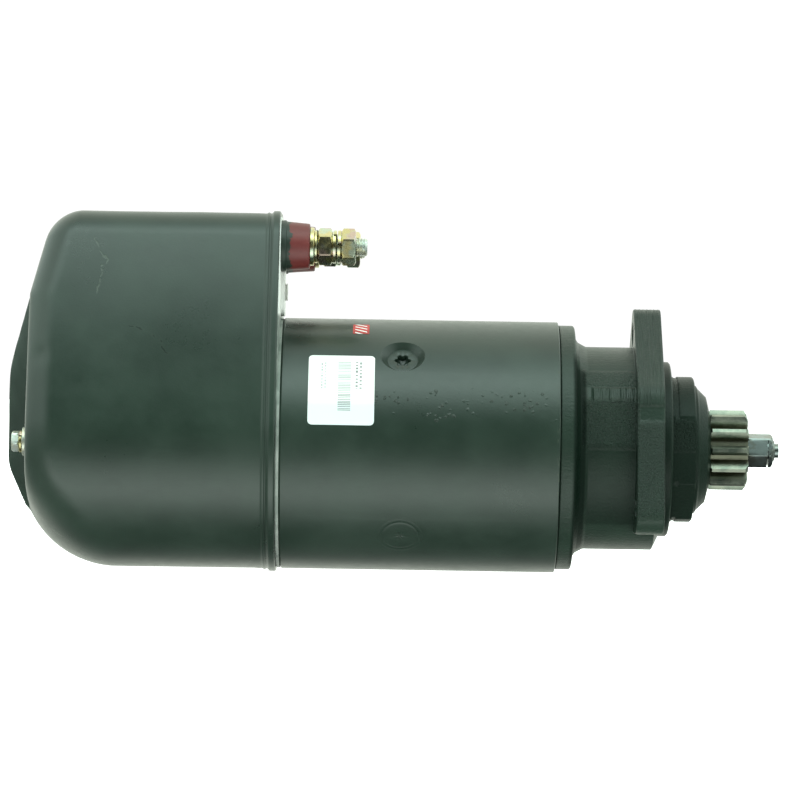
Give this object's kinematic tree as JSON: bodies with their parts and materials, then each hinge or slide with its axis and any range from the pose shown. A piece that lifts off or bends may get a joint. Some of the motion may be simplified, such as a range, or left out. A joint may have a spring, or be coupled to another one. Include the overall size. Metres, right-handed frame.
{
  "type": "starter motor",
  "caption": "Heavy-duty coaxial starter motor with round pole tube, three-ear flanged drive housing, sliding pinion, and egg-shaped closing cap over the solenoid.",
  "frame": {"origin": "where the motor axis meets the flange's mounting face", "axes": "+X along the motor axis towards the pinion, +Z towards the terminals, +Y to the left when seen from the cap"},
  "size_m": [0.4051, 0.1352, 0.1892],
  "materials": {
    "cast_paint": "satin green-black paint on rough cast iron",
    "tube_paint": "satin green-black paint on rolled steel",
    "cap_paint": "satin green-black paint on drawn steel",
    "aluminium": "as-cast aluminium, turned faces",
    "steel": "machined steel, lightly oiled",
    "laminations": "stacked electrical steel",
    "spring_steel": "oiled spring wire",
    "yellow_zinc": "yellow passivated zinc on steel",
    "copper": "copper bar and enamelled copper wire",
    "bronze": "sintered bronze",
    "insulator": "dark red moulded insulation with paint overspray",
    "insulation": "brown phenolic board",
    "seal_rubber": "black seal rubber",
    "brush_carbon": "copper-graphite brush",
    "paper": "white self-adhesive label",
    "red_paper": "red self-adhesive label"
  },
  "bodies": {
    "stator": {"brush_holders": "bronze", "brush_plate": "insulation", "brush_springs": "spring_steel", "cap_flat_washers": "steel", "cap_screws": "steel", "cap_spring_washers": "yellow_zinc", "closing_cap": "cap_paint", "commutator_end_bearing": "bronze", "commutator_end_shield": "aluminium", "contact_base": "insulation", "drive_end_bearing": "bronze", "drive_end_housing": "cast_paint", "field_coils": "copper", "field_connector": "copper", "intermediate_bush": "bronze", "intermediate_plate": "steel", "nose_seal_cap": "cast_paint", "paper_label": "paper", "plunger_spring": "spring_steel", "pole_screws": "tube_paint", "pole_shoes": "laminations", "pole_tube": "tube_paint", "relay_case": "steel", "relay_spring": "spring_steel", "relay_winding": "copper", "seal_label": "red_paper", "shaft_seal": "seal_rubber", "solenoid_case": "steel", "solenoid_core": "steel", "solenoid_end_plate": "steel", "solenoid_screws": "steel", "solenoid_windings": "copper", "terminal_50": "insulation", "terminal_flat_washers": "yellow_zinc", "terminal_insulators": "insulator", "terminal_nuts": "yellow_zinc", "terminal_spring_washers": "yellow_zinc", "terminal_studs": "yellow_zinc", "through_bolts": "steel", "trip_lever_pin": "steel"},
    "armature": {"armature_shaft": "steel", "armature_core": "laminations", "armature_windings": "copper", "commutator": "copper", "clutch_basket": "steel", "clutch_outer_plates": "steel"},
    "clutch_inner": {"clutch_hub": "steel", "clutch_inner_plates": "bronze"},
    "drive": {"drive_spindle": "steel", "pinion": "steel", "lock_nut": "steel", "engagement_rod": "steel"},
    "switch_plunger": {"plunger": "steel"},
    "contact_slide": {"relay_armature": "steel", "contact_bridge": "copper"},
    "lever": {"trip_lever": "steel"},
    "top_brush": {"brush_top": "brush_carbon"},
    "near_brush": {"brush_near": "brush_carbon"},
    "bottom_brush": {"brush_bottom": "brush_carbon"},
    "far_brush": {"brush_far": "brush_carbon"}
  },
  "joints": [
    {"name": "armature_spin", "type": "hinge", "parent": "stator", "child": "armature", "pos_m": [-0.1355, 0, 0], "axis": [1, 0, 0], "continuous": true},
    {"name": "clutch_overrun", "type": "hinge", "parent": "armature", "child": "clutch_inner", "pos_m": [-0.033, 0, 0], "axis": [1, 0, 0], "continuous": true},
    {"name": "pinion_advance", "type": "slide", "parent": "clutch_inner", "child": "drive", "axis": [1, 0, 0], "range_m": [0, 0.022]},
    {"name": "plunger_stroke", "type": "slide", "parent": "stator", "child": "switch_plunger", "axis": [1, 0, 0], "range_m": [0, 0.022], "stiffness_N_per_m": 1500, "springref_m": -0.03, "deforming": ["plunger_spring"]},
    {"name": "relay_stroke", "type": "slide", "parent": "stator", "child": "contact_slide", "axis": [1, 0, 0], "range_m": [0, 0.004], "stiffness_N_per_m": 800, "springref_m": -0.01, "deforming": ["relay_spring"]},
    {"name": "trip_lever_tilt", "type": "hinge", "parent": "stator", "child": "lever", "pos_m": [-0.253, 0, 0.056], "axis": [0, 1, 0], "range_deg": [0, 8], "stiffness_Nm_per_rad": 0.05, "springref_deg": -17.19},
    {"name": "brush_top_lift", "type": "slide", "parent": "stator", "child": "top_brush", "axis": [0, 0, 1], "range_m": [0, 0.004], "stiffness_N_per_m": 800, "springref_m": -0.02, "deforming": ["brush_springs"]},
    {"name": "brush_near_lift", "type": "slide", "parent": "stator", "child": "near_brush", "axis": [0, -1, 0], "range_m": [0, 0.004], "stiffness_N_per_m": 800, "springref_m": -0.02, "deforming": ["brush_springs"]},
    {"name": "brush_bottom_lift", "type": "slide", "parent": "stator", "child": "bottom_brush", "axis": [0, 0, -1], "range_m": [0, 0.004], "stiffness_N_per_m": 800, "springref_m": -0.02, "deforming": ["brush_springs"]},
    {"name": "brush_far_lift", "type": "slide", "parent": "stator", "child": "far_brush", "axis": [0, 1, 0], "range_m": [0, 0.004], "stiffness_N_per_m": 800, "springref_m": -0.02, "deforming": ["brush_springs"]}
  ],
  "couplings": [
    {"joint": "plunger_stroke", "follows": "pinion_advance", "ratio": 1}
  ]
}
